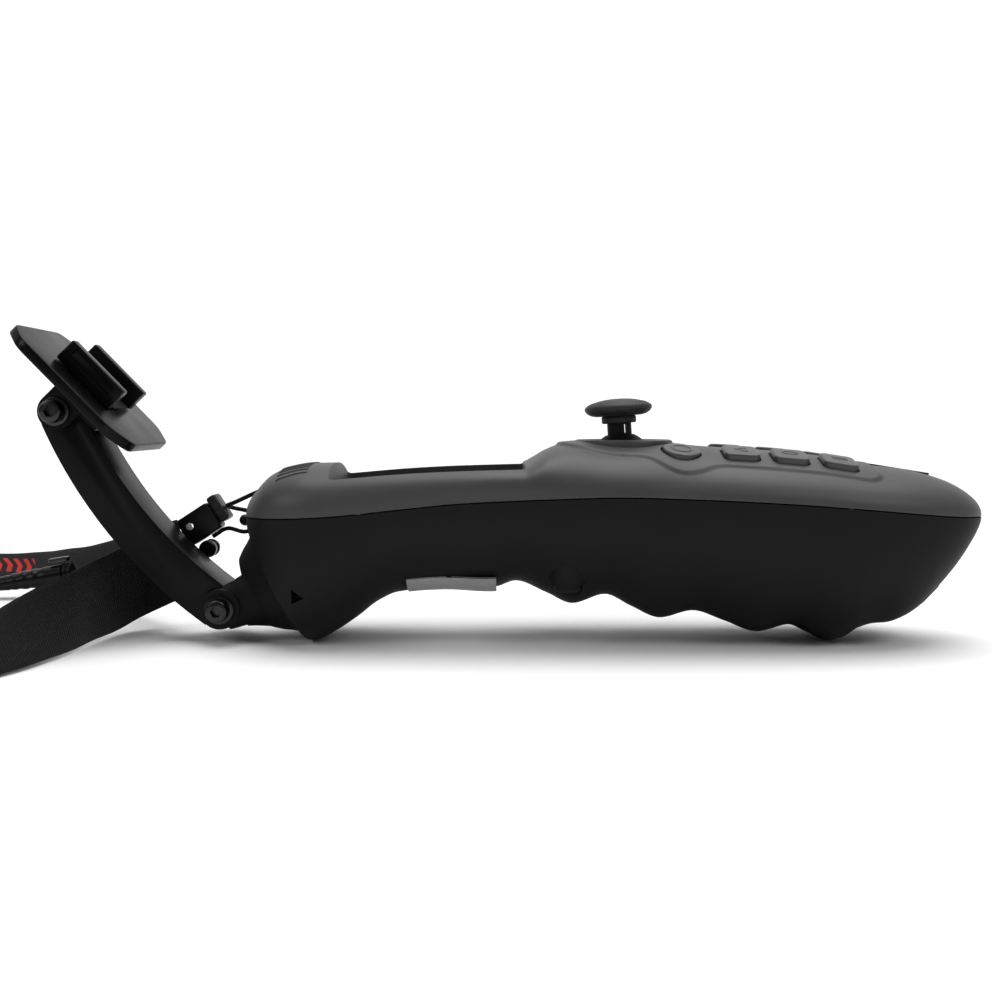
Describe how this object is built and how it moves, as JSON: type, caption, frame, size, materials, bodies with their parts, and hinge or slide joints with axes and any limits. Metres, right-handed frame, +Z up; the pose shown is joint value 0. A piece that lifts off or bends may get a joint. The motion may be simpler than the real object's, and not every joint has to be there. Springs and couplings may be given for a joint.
{
  "type": "vr motion controller",
  "caption": "Hand-held motion controller: rippled grip, thumb joystick, button pad, dark display window, tilting arm with an accessory plate, and a webbing neck lanyard.",
  "frame": {"origin": "centre of the footprint of the controller with its arm and plate, at the surface it rests on; the lanyard is left out", "axes": "+X towards the nose, +Y towards the side the lanyard leaves from, +Z up"},
  "size_m": [0.3899, 0.197, 0.0771],
  "materials": {
    "upper_plastic": "fine-grained matt dark grey plastic",
    "lower_plastic": "soft-touch matt black plastic",
    "key_rubber": "smooth dark rubber",
    "seal_rubber": "matt black rubber",
    "display_glass": "polished black cover",
    "label_film": "plain grey film",
    "arm_metal": "black anodised satin",
    "frame_metal": "plain steel",
    "black_steel": "black oxide steel",
    "circuit_board": "green solder mask",
    "cell_wrap": "blue shrink sleeve",
    "webbing_fabric": "black woven polyester",
    "cord_fabric": "black braided cord",
    "buckle_plastic": "semi-gloss black plastic",
    "buckle_trim": "semi-gloss grey plastic"
  },
  "bodies": {
    "controller": {"upper_shell": "upper_plastic", "lower_shell": "lower_plastic", "display_window": "display_glass", "display_module": "circuit_board", "status_lens": "display_glass", "rating_label": "label_film", "joystick_housing": "frame_metal", "screw_plug_near": "seal_rubber", "shell_screw_near": "frame_metal", "screw_plug_far": "seal_rubber", "shell_screw_far": "frame_metal", "keypad_mat": "key_rubber", "key_board": "circuit_board", "main_board": "circuit_board", "battery_cell": "cell_wrap", "battery_cradle": "lower_plastic", "charge_socket": "frame_metal", "radio_shield": "frame_metal", "antenna_strip": "circuit_board", "lanyard_pin": "frame_metal", "arm_base": "lower_plastic", "base_bolt": "frame_metal", "lower_pivot_screw": "black_steel", "lower_pivot_nut": "black_steel", "lower_pivot_washer": "black_steel", "webbing_front": "webbing_fabric", "webbing_rear": "webbing_fabric", "webbing_hank": "webbing_fabric", "hank_tie": "seal_rubber", "buckle_body": "buckle_plastic", "buckle_cap": "buckle_trim", "buckle_roller": "frame_metal", "clasp_grip": "buckle_plastic", "clasp_collar": "buckle_plastic", "clasp_tab": "frame_metal", "clasp_lead": "cord_fabric", "lanyard_loop": "cord_fabric", "lanyard_bead": "lower_plastic"},
    "gimbal": {"gimbal_yoke": "frame_metal"},
    "stick": {"joystick_cap": "key_rubber", "joystick_collar": "lower_plastic", "joystick_stem": "lower_plastic", "joystick_dome": "lower_plastic"},
    "key_near_1": {"key_near_1": "key_rubber"},
    "key_near_2": {"key_near_2": "key_rubber"},
    "key_near_3": {"key_near_3": "key_rubber"},
    "key_far_1": {"key_far_1": "key_rubber"},
    "key_far_2": {"key_far_2": "key_rubber"},
    "key_far_3": {"key_far_3": "key_rubber"},
    "round_button_near": {"round_button_near": "key_rubber"},
    "round_button_far": {"round_button_far": "key_rubber"},
    "port_flap": {"port_cover": "seal_rubber"},
    "arm": {"tilt_arm": "arm_metal"},
    "plate": {"accessory_plate": "arm_metal", "rail_near": "arm_metal", "rail_far": "arm_metal", "slot_pad": "seal_rubber", "upper_pivot_screw": "black_steel", "upper_pivot_nut": "black_steel", "upper_pivot_washer": "black_steel"}
  },
  "joints": [
    {"name": "joystick_pitch", "type": "hinge", "parent": "controller", "child": "gimbal", "pos_m": [0.0288, 0, 0.044], "axis": [0, 1, 0], "range_deg": [-14, 14], "stiffness_Nm_per_rad": 0.02},
    {"name": "joystick_roll", "type": "hinge", "parent": "gimbal", "child": "stick", "pos_m": [0.0288, 0, 0.044], "axis": [1, 0, 0], "range_deg": [-14, 14], "stiffness_Nm_per_rad": 0.02},
    {"name": "key_near_1_press", "type": "slide", "parent": "controller", "child": "key_near_1", "axis": [-0.0561, 0.2388, -0.9694], "range_m": [0, 0.0007], "stiffness_N_per_m": 400},
    {"name": "key_near_2_press", "type": "slide", "parent": "controller", "child": "key_near_2", "axis": [-0.0822, 0.2409, -0.9671], "range_m": [0, 0.0007], "stiffness_N_per_m": 400},
    {"name": "key_near_3_press", "type": "slide", "parent": "controller", "child": "key_near_3", "axis": [-0.15, 0.2378, -0.9597], "range_m": [0, 0.0007], "stiffness_N_per_m": 400},
    {"name": "key_far_1_press", "type": "slide", "parent": "controller", "child": "key_far_1", "axis": [-0.0561, -0.2388, -0.9694], "range_m": [0, 0.0007], "stiffness_N_per_m": 400},
    {"name": "key_far_2_press", "type": "slide", "parent": "controller", "child": "key_far_2", "axis": [-0.0822, -0.2409, -0.9671], "range_m": [0, 0.0007], "stiffness_N_per_m": 400},
    {"name": "key_far_3_press", "type": "slide", "parent": "controller", "child": "key_far_3", "axis": [-0.15, -0.2378, -0.9597], "range_m": [0, 0.0007], "stiffness_N_per_m": 400},
    {"name": "round_button_near_press", "type": "slide", "parent": "controller", "child": "round_button_near", "axis": [-0.1003, 0.2837, -0.9536], "range_m": [0, 0.0007], "stiffness_N_per_m": 400},
    {"name": "round_button_far_press", "type": "slide", "parent": "controller", "child": "round_button_far", "axis": [-0.1003, -0.2837, -0.9536], "range_m": [0, 0.0007], "stiffness_N_per_m": 400},
    {"name": "port_cover_pull", "type": "slide", "parent": "controller", "child": "port_flap", "axis": [0.7257, 0, -0.6881], "range_m": [0, 0.004]},
    {"name": "arm_tilt", "type": "hinge", "parent": "controller", "child": "arm", "pos_m": [-0.06995, 0, 0.0085], "axis": [0, 1, 0], "range_deg": [-3, 40]},
    {"name": "plate_tilt", "type": "hinge", "parent": "arm", "child": "plate", "pos_m": [-0.10885, 0, 0.0567], "axis": [0, -1, 0], "range_deg": [-10, 90]}
  ]
}
